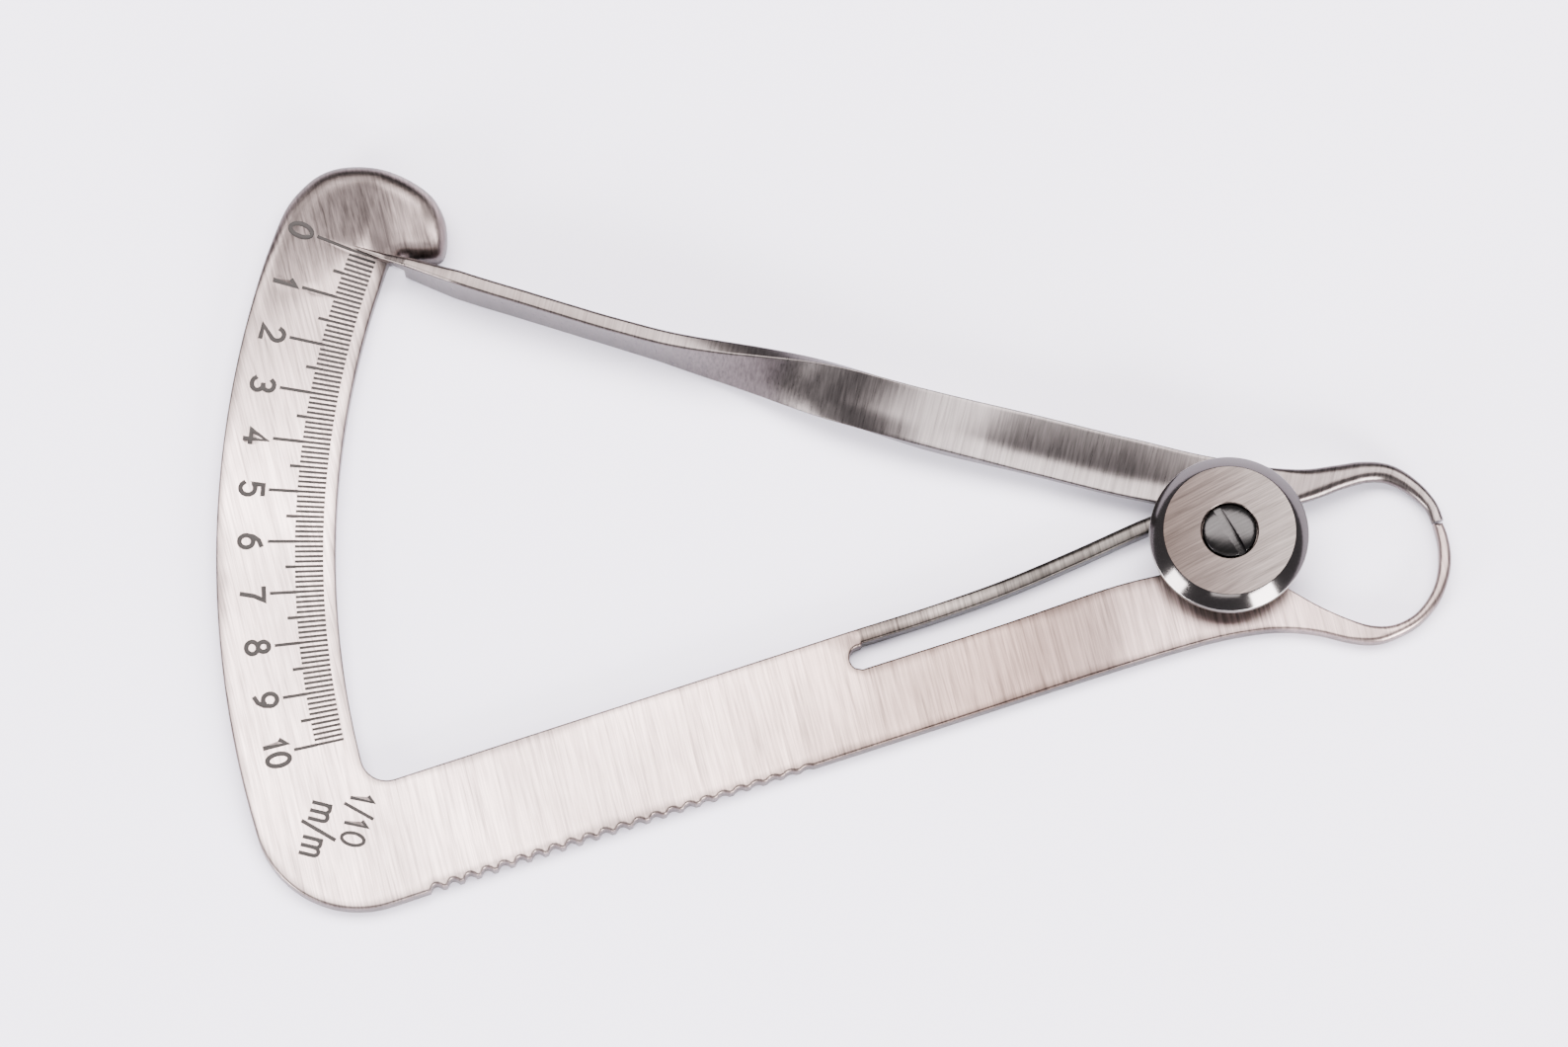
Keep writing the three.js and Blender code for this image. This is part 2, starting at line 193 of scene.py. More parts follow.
# ---- Plane geometry ----
ALONG_ARM = np.array([math.cos(math.radians(ARM_SLOPE)), math.sin(math.radians(ARM_SLOPE))])
ACROSS_ARM = np.array([-ALONG_ARM[1], ALONG_ARM[0]])


def polar(radius, angle):
    """Point at that radius from the pivot, angle in degrees up from -X."""
    turn = math.radians(180 - angle)
    return (radius * math.cos(turn), radius * math.sin(turn))


def arc(centre, radius, start, end, steps):
    """Points along a circle, with angles in degrees from +X."""
    turns = np.radians(np.linspace(start, end, steps + 1))
    return [(centre[0] + radius * math.cos(t), centre[1] + radius * math.sin(t)) for t in turns]


def smooth_curve(points, steps_per_span):
    """Curve through all the points, with the given number of steps from one to the next."""
    places = np.array([points[0], *points, points[-1]], float)
    curve = []
    for i in range(len(points) - 1):
        before, start, end, after = places[i:i + 4]
        for t in np.linspace(0, 1, steps_per_span, endpoint=False):
            leave = (end - before) / 2
            arrive = (after - start) / 2
            curve.append(
                start * (2 * t**3 - 3 * t**2 + 1)
                + end * (3 * t**2 - 2 * t**3)
                + leave * (t**3 - 2 * t**2 + t)
                + arrive * (t**3 - t**2)
            )
    curve.append(places[-1])
    return [tuple(p) for p in curve]


def subdivided(outline, longest):
    """The same closed outline with no side longer than the given length."""
    points = []
    for start, end in zip(np.array(outline), np.roll(outline, -1, axis=0)):
        steps = max(1, math.ceil(np.linalg.norm(end - start) / longest))
        points += [start + (end - start) * k / steps for k in range(steps)]
    return np.array(points)


def distance_to_sides(places, starts, ends):
    """Shortest distance from each place to a set of straight sides."""
    nearest = np.full(len(places), np.inf)
    for start, end in zip(starts, ends):
        side = end - start
        share = ((places - start) @ side) / max(side @ side, 1e-12)
        foot = start + np.clip(share, 0, 1)[:, None] * side
        nearest = np.minimum(nearest, np.hypot(*(places - foot).T))
    return nearest


def inside_outline(places, outline):
    """True for each place that lies inside a closed outline."""
    inside = np.zeros(len(places), bool)
    x, y = places.T
    for (x0, y0), (x1, y1) in zip(outline, np.roll(outline, -1, axis=0)):
        if y0 == y1:
            continue
        crosses = (y0 > y) != (y1 > y)
        inside ^= crosses & (x < x0 + (y - y0) * (x1 - x0) / (y1 - y0))
    return inside


def smoothstep(value, low, high):
    """0 below low and 1 above high, with a smooth climb between them."""
    t = np.clip((value - low) / (high - low), 0, 1)
    return t * t * (3 - 2 * t)


# ---- Meshes ----
def mesh_object(name, vertices, faces, materials, sharp=SHARP_ANGLE, dark_faces=()):
    """A mesh from points in millimetres, smooth except across sharp angles.
    The dark faces get the second material."""
    mesh = bpy.data.meshes.new(name)
    mesh.from_pydata([tuple(c * MM for c in v) for v in vertices], [], faces)
    for material in materials:
        mesh.materials.append(material)
    for index in dark_faces:
        mesh.polygons[index].material_index = 1
    work = bmesh.new()
    work.from_mesh(mesh)
    bmesh.ops.recalc_face_normals(work, faces=work.faces)
    work.to_mesh(mesh)
    work.free()
    mesh.shade_smooth()
    mesh.set_sharp_from_angle(angle=math.radians(sharp))
    piece = bpy.data.objects.new(name, mesh)
    bpy.context.scene.collection.objects.link(piece)
    return piece


def crease_between(piece, chosen):
    """Sharp edges wherever a chosen face meets one that isn't."""
    work = bmesh.new()
    work.from_mesh(piece.data)
    for edge in work.edges:
        if len({face.index in chosen for face in edge.link_faces}) == 2:
            edge.smooth = False
    work.to_mesh(piece.data)
    work.free()


def note(piece, name, values):
    """Stores a number at each vertex for the material to read."""
    attribute = piece.data.attributes.new(name, "FLOAT", "POINT")
    attribute.data.foreach_set("value", np.array(values, np.float32))


def settle(piece):
    """Makes the piece's modifiers part of its mesh."""
    bpy.context.view_layer.update()
    evaluated = piece.evaluated_get(bpy.context.evaluated_depsgraph_get())
    mesh = bpy.data.meshes.new_from_object(evaluated)
    piece.modifiers.clear()
    piece.data = mesh
    work = bmesh.new()
    work.from_mesh(mesh)
    bmesh.ops.dissolve_degenerate(work, dist=1e-7, edges=work.edges[:])
    work.to_mesh(mesh)
    work.free()
    mesh.shade_smooth()
    mesh.set_sharp_from_angle(angle=math.radians(SHARP_ANGLE))
    return piece


def combine(piece, tool, operation):
    """Joins or cuts with another closed mesh, which is then dropped."""
    modifier = piece.modifiers.new(operation.lower(), "BOOLEAN")
    modifier.operation = operation
    modifier.solver = "EXACT"
    modifier.object = tool
    settle(piece)
    bpy.data.objects.remove(tool)
    return piece


def rounded_edges(piece, width, angle):
    """Rounds the edges that are sharper than an angle."""
    modifier = piece.modifiers.new("edges", "BEVEL")
    modifier.width = width * MM
    modifier.segments = 2
    modifier.limit_method = "ANGLE"
    modifier.angle_limit = math.radians(angle)
    return settle(piece)


def skin(rings):
    """Faces between rings of points that have the same count, closed at both ends."""
    count = len(rings[0])
    faces = []
    for i in range(len(rings) - 1):
        for j in range(count):
            a, b = i * count + j, i * count + (j + 1) % count
            faces.append((a, b, b + count, a + count))
    last = (len(rings) - 1) * count
    faces.append(tuple(reversed(range(count))))
    faces.append(tuple(range(last, last + count)))
    return [p for ring in rings for p in ring], faces


def turned(name, profile, materials, centre=(0, 0), segments=128, sharp=SHARP_ANGLE):
    """A turned piece. Its profile is a list of (radius, height); radius 0 is on the axis."""
    vertices = []
    rows = []
    for radius, height in profile:
        if radius == 0:
            vertices.append((centre[0], centre[1], height))
            rows.append([len(vertices) - 1] * segments)
            continue
        start = len(vertices)
        for x, y in arc(centre, radius, 0, 360, segments)[:-1]:
            vertices.append((x, y, height))
        rows.append(list(range(start, start + segments)))
    faces = []
    pairs = list(zip(rows, rows[1:]))
    if profile[0][0] > 0:
        pairs.append((rows[-1], rows[0]))
    for low, high in pairs:
        for j in range(segments):
            k = (j + 1) % segments
            corners = (low[j], low[k], high[k], high[j])
            faces.append(tuple(dict.fromkeys(corners)))
    return mesh_object(name, vertices, faces, materials, sharp)


# ---- Materials ----
DARKEST_PAINTED_SHADE = 0.1                      # share of its brightness that the colour keeps under full painted shade


def node(material, kind, **values):
    """A new node. Each keyword is one of its inputs, or else one of its settings."""
    made = material.node_tree.nodes.new(kind)
    for key, value in values.items():
        if key in made.inputs:
            made.inputs[key].default_value = value
        else:
            setattr(made, key, value)
    return made


def mapped(material, vector, **values):
    """The vector turned or scaled."""
    made = node(material, "ShaderNodeMapping", **values)
    material.node_tree.links.new(vector, made.inputs["Vector"])
    return made.outputs["Vector"]


def noise(material, vector, scale, detail, roughness):
    made = node(material, "ShaderNodeTexNoise", Scale=scale, Detail=detail, Roughness=roughness)
    material.node_tree.links.new(vector, made.inputs["Vector"])
    return made.outputs["Fac"]


def remapped(material, value, to_low, to_high, from_low=0.3, from_high=0.7, kind="LINEAR"):
    """The value moved from one range to another and held inside it."""
    made = node(material, "ShaderNodeMapRange", interpolation_type=kind)
    made.inputs["From Min"].default_value = from_low
    made.inputs["From Max"].default_value = from_high
    made.inputs["To Min"].default_value = to_low
    made.inputs["To Max"].default_value = to_high
    material.node_tree.links.new(value, made.inputs["Value"])
    return made.outputs["Result"]


def product(material, first, second):
    made = node(material, "ShaderNodeMath", operation="MULTIPLY")
    material.node_tree.links.new(first, made.inputs[0])
    material.node_tree.links.new(second, made.inputs[1])
    return made.outputs["Value"]


def stored(material, name):
    """The number that note() has stored at each vertex; 0 where there is none."""
    return node(material, "ShaderNodeAttribute", attribute_name=name).outputs["Fac"]


def colour_along(material, place, colour, painted_light):
    """The colour times the painted light and shade factors, which change with x."""
    links = material.node_tree.links
    split = node(material, "ShaderNodeSeparateXYZ")
    links.new(place, split.inputs["Vector"])
    first, last = painted_light[0][0], painted_light[-1][0] + 1
    along = remapped(material, split.outputs["X"], 0.0, 1.0, first * MM, last * MM)
    ramp = node(material, "ShaderNodeValToRGB")
    ramp.color_ramp.interpolation = "B_SPLINE" if len(painted_light) > 3 else "EASE"
    while len(ramp.color_ramp.elements) < len(painted_light):
        ramp.color_ramp.elements.new(0.5)
    for element, (x, *factors) in zip(ramp.color_ramp.elements, painted_light):
        element.position = (x - first) / (last - first)
        element.color = (*(c * f for c, f in zip(colour, factors)), 1)
    if len(painted_light) == 1:
        ramp.color_ramp.elements[1].color = (*colour, 1)
    links.new(along, ramp.inputs["Fac"])
    return ramp.outputs["Color"]


def brushed_steel(name, colour, roughness, streak_angle, streaks, fine=5200.0, patchy=0.12,
                  bump=0.5, painted_light=((0, 1, 1, 1),), darker_edges_and_shade=False):
    """Bare steel with fine brushing lines that run at streak_angle in the XY plane.
    The painted_light entries are (x in millimetres, red, green, blue) factors along the piece:
    painted light and shade in its colour."""
    material = bpy.data.materials.new(name)
    material.use_nodes = True
    links = material.node_tree.links
    shader = material.node_tree.nodes["Principled BSDF"]
    shader.inputs["Metallic"].default_value = 1.0
    place = node(material, "ShaderNodeTexCoord").outputs["Object"]
    aligned = mapped(material, place, Rotation=(0, 0, math.radians(-streak_angle)))
    narrow = mapped(material, aligned, Scale=(fine * 0.035, fine, fine * 0.3))
    lines = noise(material, narrow, 1.0, 3.0, 0.6)
    broad = mapped(material, aligned, Scale=(fine * 0.012, fine * 0.22, fine * 0.1))
    bands = noise(material, broad, 1.0, 2.0, 0.5)
    cloud = noise(material, place, 95.0, 3.0, 0.55)

    brushing = node(material, "ShaderNodeMix", data_type="FLOAT", Factor=0.25)
    links.new(lines, brushing.inputs["A"])
    links.new(bands, brushing.inputs["B"])
    streak = remapped(material, brushing.outputs["Result"], 1 - streaks, 1 + streaks * 0.5)
    patch = remapped(material, cloud, 1 - patchy, 1.0)
    level = product(material, streak, patch)
    if darker_edges_and_shade:
        # Darker close to the edges, and darker still where painted shade is stored on the pad
        reach = product(material, stored(material, "edge_depth"), cloud)
        fade = remapped(material, reach, 0.35, 1.0, 0.0, 0.42, "SMOOTHSTEP")
        level = product(material, level, fade)
        kept = remapped(material, stored(material, "painted_shade"), 1.0, DARKEST_PAINTED_SHADE, 0.0, 1.0)
        level = product(material, level, kept)
    tint = node(material, "ShaderNodeVectorMath", operation="SCALE")
    links.new(colour_along(material, place, colour, painted_light), tint.inputs[0])
    links.new(level, tint.inputs["Scale"])
    links.new(tint.outputs["Vector"], shader.inputs["Base Color"])

    rough = remapped(material, lines, roughness * 0.93, roughness * 1.07)
    links.new(rough, shader.inputs["Roughness"])
    grain = node(material, "ShaderNodeBump", Strength=bump, Distance=0.00001)
    links.new(lines, grain.inputs["Height"])
    links.new(grain.outputs["Normal"], shader.inputs["Normal"])
    return material


def plain(name, colour, roughness, specular=0.5):
    material = bpy.data.materials.new(name)
    material.use_nodes = True
    shader = material.node_tree.nodes["Principled BSDF"]
    shader.inputs["Base Color"].default_value = (*colour, 1)
    shader.inputs["Roughness"].default_value = roughness
    shader.inputs["Specular IOR Level"].default_value = specular
    return material


# Painted light and shade: the plate's steel is darker and warmer towards the pivot and the jaw's
# tip, standing in for the shade and reflections there
PLATE_PAINTED_LIGHT = (
    (-88, 1, 1, 1), (-52, 0.95, 0.93, 0.92), (-34, 0.7, 0.64, 0.6), (-20, 0.3, 0.25, 0.225),
    (-10, 0.24, 0.22, 0.21), (-4, 0.7, 0.66, 0.65), (8, 0.5, 0.47, 0.46), (19, 0.3, 0.29, 0.285),
)
# Painted light and shade along the leaf: brightest at its root, darker and greyer towards its free
# end
LEAF_PAINTED_LIGHT = (
    (-34, 1, 0.98, 0.97), (-28, 0.6, 0.66, 0.67), (-18, 0.42, 0.48, 0.49), (-4, 0.36, 0.42, 0.43),
)
# Painted shade on the cap's face: darker and warmer towards -X
CAP_PAINTED_LIGHT = ((-7, 0.3, 0.24, 0.21), (-1, 0.55, 0.47, 0.45), (4, 1, 0.93, 0.9), (7, 1, 0.93, 0.9))
# Painted light and shade along the arm: stretches made lighter or darker along x
ARM_PAINTED_LIGHT = (
    (-76, 0.66, 0.6, 0.57), (-52, 0.6, 0.55, 0.53), (-44, 0.72, 0.68, 0.67), (-36, 0.5, 0.48, 0.48),
    (-20, 0.9, 0.88, 0.88), (0, 0.62, 0.59, 0.58), (7, 0.45, 0.4, 0.39), (18, 0.85, 0.8, 0.78),
)
plate_steel = brushed_steel("plate_steel", (0.6, 0.48, 0.46), 0.36, 104, 0.6, patchy=0.35,
                            bump=0.3, painted_light=PLATE_PAINTED_LIGHT, darker_edges_and_shade=True)
# Lit and shaded copies of one steel: the leaf, arm, cap face, bevel, wall and screw get base
# colours darker than the plate's, each set as painted shade for how dark that part looks
leaf_steel = brushed_steel("leaf_steel", (0.25, 0.19, 0.172), 0.3, 104, 0.7, patchy=0.5,
                           bump=0.4, painted_light=LEAF_PAINTED_LIGHT, darker_edges_and_shade=True)
arm_steel = brushed_steel("arm_steel", (0.16, 0.143, 0.142), 0.29, 76, 0.45, bump=0.25,
                          painted_light=ARM_PAINTED_LIGHT)
cap_steel = brushed_steel("cap_steel", (0.115, 0.104, 0.101), 0.38, 28, 0.6, 7500, painted_light=CAP_PAINTED_LIGHT)
wall_steel = brushed_steel("wall_steel", (0.36, 0.34, 0.33), 0.35, 0, 0.2, bump=0.3)
bevel_steel = brushed_steel("bevel_steel", (0.088, 0.079, 0.078), 0.12, 0, 0.06, bump=0.1)
screw_steel = brushed_steel("screw_steel", (0.03, 0.028, 0.028), 0.24, 30, 0.3)
turned_steel = brushed_steel("turned_steel", (0.4, 0.38, 0.37), 0.3, 0, 0.12)
groove_dark = plain("groove_dark", (0.03, 0.026, 0.025), 0.6, specular=0.12)


# ---- Outline of the scale plate ----
def fillet_centre(circle_radius, edge_point, radius):
    """Centre of a fillet between a circle round the pivot and an edge along the lower arm."""
    start = np.array(edge_point) + radius * ACROSS_ARM
    ahead = start @ ALONG_ARM
    reach = circle_radius - radius
    return start - ALONG_ARM * (ahead + math.sqrt(ahead * ahead - start @ start + reach * reach))


def grip_edge():
    """Shallow round notches along the lower edge, fading towards the pivot."""
    half = 0.38                    # of a notch, in pitches
    points = []
    for i in range(GRIP_NOTCHES, 0, -1):
        depth = GRIP_DEPTH * min(1, 0.35 + i / GRIP_NOTCHES)
        for shift in np.linspace(-half, half, 7):
            place = np.array(LOWER_EDGE) + ALONG_ARM * (shift - i) * GRIP_PITCH
            points.append(tuple(place + ACROSS_ARM * depth * (1 - (shift / half) ** 2)))
    return points


def jaw_outer():
    """Outer side of the lower jaw, from the lower arm to the tip."""
    return smooth_curve([
        LOWER_EDGE, (-22, -15.2), (-10, -11.2), (-2.2, -8.8), (1.9, -7.9), (4.75, -7.65),
        (7.6, -7.9), (10.5, -8.6), (12.6, -8.75), (14.4, -8.2), (16.4, -7), (18.05, -5.05),
        (18.9, -2.9), (19.1, -1), (18.85, 0.7), (18.45, 1.85),
    ], 6)


def jaw_inner():
    """Inner side of the lower jaw, from the tip back to the boss."""
    return smooth_curve([
        (17.6, 1.75), (18, -0.17), (17.95, -2.3), (17.4, -4.2), (16.2, -5.95), (14.7, -6.95),
        (13.1, -7.3), (11.1, -7), (8, -5.7), (4.6, -3.7),
    ], 6)


def leaf_pocket():
    """The pocket the leaf's free end moves in, and the slot that runs under the leaf."""
    slot = smooth_curve([(-5.7, -2.8), (-10.4, -4.05), (-19.7, -7.35), (-31.2, -11.15)], 8)
    return [
        *arc((0, 0), EYE_RADIUS, 118, 212, 20),
        *slot,
        *arc((-31.3, -10.15), 1.02, 250, 95, 14)[1:],
    ]


def leaf_seat(side):
    """Point of the leaf's root, at that distance to the side of its centre line."""
    return tuple(np.array(LEAF_ROOT) + side * ACROSS_ARM)


def pad_top():
    """Edge of the thumb pad from the scale's outer side over the top to the lower lip."""
    return smooth_curve([
        polar(SCALE_OUTER, 17.2), (-81, 29.6), (-79.3, 31.8), (-77.6, 33), (-75.5, 33.5),
        (-72.9, 33.35), (-70.4, 32.4), (-68.3, 30.9), (-67.2, 29), (-66.95, 27.3),
        (-67.15, 25.9), (-67.6, 25.35), (-68.5, 25.2), (-70.9, 25.28),
    ], 5)


def pad_rim():
    """The same, with the stretch of the scale's outer side that the dome is close to."""
    return arc((0, 0), SCALE_OUTER, 176, 163.5, 24) + pad_top()


def plate_outline():
    """Anticlockwise outline, starting on the outer side just below the thumb pad.
    Where two arcs meet, one of them stays a little short, so that no point is doubled."""
    corner = fillet_centre(SCALE_OUTER, LOWER_EDGE, CORNER_RADIUS)
    nook = fillet_centre(SCALE_INNER, UPPER_EDGE, NOOK_RADIUS)
    corner_turn = math.degrees(math.atan2(corner[1], corner[0])) + 360
    nook_turn = math.degrees(math.atan2(nook[1], nook[0])) + 360
    return [
        *arc((0, 0), SCALE_OUTER, 164, corner_turn, 110),
        *arc(corner, CORNER_RADIUS, corner_turn + 2, 270 + ARM_SLOPE, 30),
        *grip_edge(),
        *jaw_outer(),
        *jaw_inner(),
        *arc((0, 0), BOSS_RADIUS, -36, 108, 40),
        *leaf_pocket(),
        leaf_seat(-LEAF_HALF),
        leaf_seat(LEAF_HALF),
        *arc(nook, NOOK_RADIUS, 270 + ARM_SLOPE, nook_turn + 3, 9),
        *arc((0, 0), SCALE_INNER, nook_turn, 160.8, 90),
        *reversed(pad_top()),
    ]


# ---- Engraving ----
def bow(x, y, wide, high, start, end, steps=10):
    """Points along part of an ellipse, with angles in degrees."""
    turns = np.radians(np.linspace(start, end, steps + 1))
    return [(x + wide * math.cos(t), y + high * math.sin(t)) for t in turns]


# Strokes of each character in a box one unit high, centred on its own width
CHARACTERS = {
    "0": [bow(0, 0.5, 0.27, 0.5, 90, 450, 20)],
    "1": [[(-0.16, 0.74), (0.06, 1.0), (0.06, 0.0)]],
    "2": [bow(0, 0.7, 0.28, 0.3, 165, -40, 10) + [(-0.28, 0.0), (0.3, 0.0)]],
    "3": [bow(-0.02, 0.75, 0.26, 0.25, 155, -90, 9), bow(-0.02, 0.26, 0.3, 0.26, 90, -155, 10)],
    "4": [[(0.12, 0.0), (0.12, 1.0), (-0.3, 0.28), (0.32, 0.28)]],
    "5": [[(0.26, 1.0), (-0.2, 1.0), (-0.25, 0.56)] + bow(-0.02, 0.33, 0.3, 0.33, 130, -150, 10)],
    "6": [[(0.2, 0.97), (-0.05, 0.86), (-0.22, 0.62), (-0.28, 0.32)],
          bow(0, 0.31, 0.28, 0.31, 180, -180, 16)],
    "7": [[(-0.28, 1.0), (0.3, 1.0), (0.08, 0.55), (-0.04, 0.0)]],
    "8": [bow(0, 0.76, 0.23, 0.24, 90, 450, 14), bow(0, 0.26, 0.28, 0.26, 90, 450, 16)],
    "9": [bow(0, 0.69, 0.28, 0.31, 0, 360, 16),
          [(0.28, 0.68), (0.22, 0.38), (0.05, 0.14), (-0.2, 0.03)]],
    "/": [[(-0.2, -0.2), (0.2, 1.12)]],
    "m": [[(-0.32, 0.0), (-0.32, 0.68)],
          [(-0.32, 0.46)] + bow(-0.16, 0.5, 0.15, 0.17, 160, 0, 6) + [(-0.01, 0.0)],
          [(-0.01, 0.46)] + bow(0.15, 0.5, 0.15, 0.17, 160, 0, 6) + [(0.3, 0.0)]],
}
# Room that a character takes along its line, in the same unit
ROOM = {"1": 0.58, "/": 0.56, "m": 0.78}
ROOM_OF_OTHERS = 0.82
# Text, centre, height, reading direction and line width as a share of the numerals'
UNIT_MARKS = (
    ("1/10", (-74.0, -24.4), 1.95, -103, 0.75),
    ("m/m", (-77.2, -25.3), 2.3, -104, 0.85),
)


def written(text, centre, height, reading_angle):
    """Strokes of a text, centred on a point, that reads along the given direction."""
    turn = math.radians(reading_angle)
    across = np.array([math.cos(turn), math.sin(turn)])
    upward = np.array([-math.sin(turn), math.cos(turn)])
    steps = [ROOM.get(c, ROOM_OF_OTHERS) for c in text]
    cursor = -sum(steps) / 2
    strokes = []
    for character, step in zip(text, steps):
        middle = cursor + step / 2
        for stroke in CHARACTERS[character]:
            strokes.append([
                tuple(np.array(centre) + height * ((middle + u) * across + (v - 0.5) * upward))
                for u, v in stroke
            ])
        cursor += step
    return strokes


def mark_angle(value):
    """Where the pointer stands for that jaw opening, in degrees up from -X."""
    return ZERO_MARK - math.degrees(2 * math.asin(value / LEVER))


def scale_strokes():
    """Tick lines and numerals as (points, line width) pairs."""
    strokes = []
    for tenth in range(101):
        angle = mark_angle(tenth / 10)
        strokes.append(([polar(TICK_ROOT, angle), polar(TICK_END, angle)], TICK_WIDTH))
        if tenth % 5 == 0:
            end = HALF_TICK_END if tenth % 10 else LONG_TICK_END - DRIFT * tenth / 10
            strokes.append(([polar(TICK_END - 0.1, angle), polar(end, angle)], LONG_TICK_WIDTH))
    for value in range(11):
        angle = mark_angle(value)
        centre = polar(NUMERAL_RADIUS - DRIFT * value, angle)
        for line in written(str(value), centre, NUMERAL_HEIGHT, -90 - angle):
            strokes.append((line, NUMERAL_WIDTH))
    for text, centre, height, direction, share in UNIT_MARKS:
        for line in written(text, centre, height, direction):
            strokes.append((line, NUMERAL_WIDTH * share))
    return strokes


def stroke_border(line, half):
    """Closed border at that distance round an open line."""
    overhang = 0.6                 # past the line's ends, as a share of the distance
    sharpest = 0.55                # keeps the border of a sharp corner from running out
    line = np.array(line, float)
    sides = np.diff(line, axis=0)
    sides /= np.linalg.norm(sides, axis=1)[:, None]
    ends = np.vstack([sides[:1], sides, sides[-1:]])
    bisector = ends[:-1] + ends[1:]
    bisector /= np.maximum(np.linalg.norm(bisector, axis=1), 1e-6)[:, None]
    lean = np.maximum(np.sum(bisector * ends[1:], axis=1), sharpest)
    normal = np.column_stack([-bisector[:, 1], bisector[:, 0]]) / lean[:, None]
    tips = line.copy()
    tips[0] -= sides[0] * half * overhang
    tips[-1] += sides[-1] * half * overhang
    return [tuple(p) for p in np.vstack([tips + normal * half, (tips - normal * half)[::-1]])]


def engraved(places, strokes, margin=0.0):
    """Share of the full engraving depth at each place, for strokes widened by a margin."""
    depth = np.zeros(len(places))
    for line, width in strokes:
        half = width / 2 + margin
        for start, end in zip(np.array(line), np.array(line[1:])):
            low, high = np.minimum(start, end) - half, np.maximum(start, end) + half
            near = np.all((places > low) & (places < high), axis=1)
            if near.any():
                away = distance_to_sides(places[near], [start], [end])
                sunk = np.clip((half - away) / (GROOVE_WALL * half), 0, 1)
                depth[near] = np.maximum(depth[near], sunk)
    return depth


# ---- Scale plate ----
def edge_rounding(places):
    """Rounding radius of the upper edge near each place: larger along the lower jaw."""
    return EDGE_TOP + (JAW_ROUND - EDGE_TOP) * smoothstep(places[:, 0], 9.0, 14.5)


def under_rounding(places):
    return edge_rounding(places) * EDGE_UNDER / EDGE_TOP


def rounded_off(depth, radius):
    """How far a rounded edge has dropped at that depth from the outline."""
    short = np.clip(radius - depth, 0, radius)
    return radius - np.sqrt(np.maximum(radius**2 - short**2, 0))


def pad_height(places, rim, inset):
    """Height of the thumb pad, which ramps up towards its top and rolls over at its rim.
    It stays low where the pointer's beak passes and is high again in the tab beside it."""
    radius = np.hypot(*places.T)
    angle = np.degrees(np.arctan2(places[:, 1], -places[:, 0]))
    outward = np.clip((radius - BEAK_REACH) / (SCALE_OUTER - BEAK_REACH), 0, 1)
    foot = BEAK_FOOT + (PAD_FOOT - BEAK_FOOT) * outward
    in_tab = smoothstep(places[:, 0], TAB_FROM, TAB_WHOLE)
    foot += (TAB_FOOT - foot) * in_tab
    share = np.clip((angle - foot) / (PAD_CREST - foot), 0, 1)
    rise = np.where(share < PAD_EASE, share**2 / (2 * PAD_EASE), share - PAD_EASE / 2)
    rise /= 1 - PAD_EASE / 2
    near = (rise > 0) & (places[:, 0] < PAD_END)
    depth = distance_to_sides(places[near], rim[:-1], rim[1:])
    on_lip = (1 - smoothstep(places[near, 1], 26.0, 28.5)) * in_tab[near]
    roll = PAD_ROLL + (LIP_ROLL - PAD_ROLL) * on_lip
    inside = np.clip((depth - inset) / roll, 0, 1)
    height = np.zeros(len(places))
    height[near] = PAD_RISE * rise[near] * np.sqrt(1 - (1 - inside) ** 2)
    return height


def pad_dullness(places, rim):
    """How much painted shade darkens the colour: 0 on the scale, rising over the pad, 1 in a band
    at its rim.
    """
    face_shaded = 0.6
    near = (places[:, 0] < PAD_END) & (places[:, 1] > 4)
    x, y = places[near].T
    face = face_shaded * smoothstep(y, 5, 18) * (1 - 0.6 * smoothstep(x, -74, -70))
    on_lip = (1 - smoothstep(y, 26.5, 29)) * smoothstep(x, TAB_FROM, TAB_WHOLE)
    depth = distance_to_sides(places[near], rim[:-1], rim[1:])
    band = smoothstep(depth, 0.5, 1.0) * (1 - smoothstep(depth, 1.4, 2.4))
    band *= smoothstep(np.degrees(np.arctan2(y, -x)), 13, 20) * (1 - on_lip)
    shaded = np.zeros(len(places))
    shaded[near] = face + (1 - face) * band
    return shaded


def free_edges(outline):
    """Starts and ends of the outline's sides, without those that the leaf grows from."""
    seat = np.array([leaf_seat(-LEAF_HALF), leaf_seat(LEAF_HALF)])
    starts, ends = outline, np.roll(outline, -1, axis=0)
    free = distance_to_sides((starts + ends) / 2, seat[:1], seat[1:]) >= 0.02
    return starts[free], ends[free]


def clear_of(points, edges, least):
    return points[distance_to_sides(points, *edges) >= least]


def shrunk_rings(outline, shares, radii, most=math.inf):
    """Points of the outline moved inwards by shares of the local radius, up to a distance."""
    ahead = np.roll(outline, -1, axis=0) - outline
    ahead /= np.linalg.norm(ahead, axis=1)[:, None]
    heading = ahead + np.roll(ahead, 1, axis=0)
    heading /= np.maximum(np.linalg.norm(heading, axis=1), 1e-6)[:, None]
    inward = np.column_stack([-heading[:, 1], heading[:, 0]])
    rings = [outline + inward * np.minimum(radii * share, most)[:, None] for share in shares]
    return np.vstack(rings)


def just_inside(points, outline, edges):
    return clear_of(points[inside_outline(points, outline)], edges, LEAST_GAP)


def grid_inside(outline, edges, box, pitch, margin):
    """Square grid of points inside the outline, clear of its edges."""
    (left, bottom), (right, top) = box
    x, y = np.meshgrid(np.arange(left, right, pitch), np.arange(bottom, top, pitch))
    grid = np.column_stack([x.ravel(), y.ravel()])
    return clear_of(grid[inside_outline(grid, outline)], edges, margin)


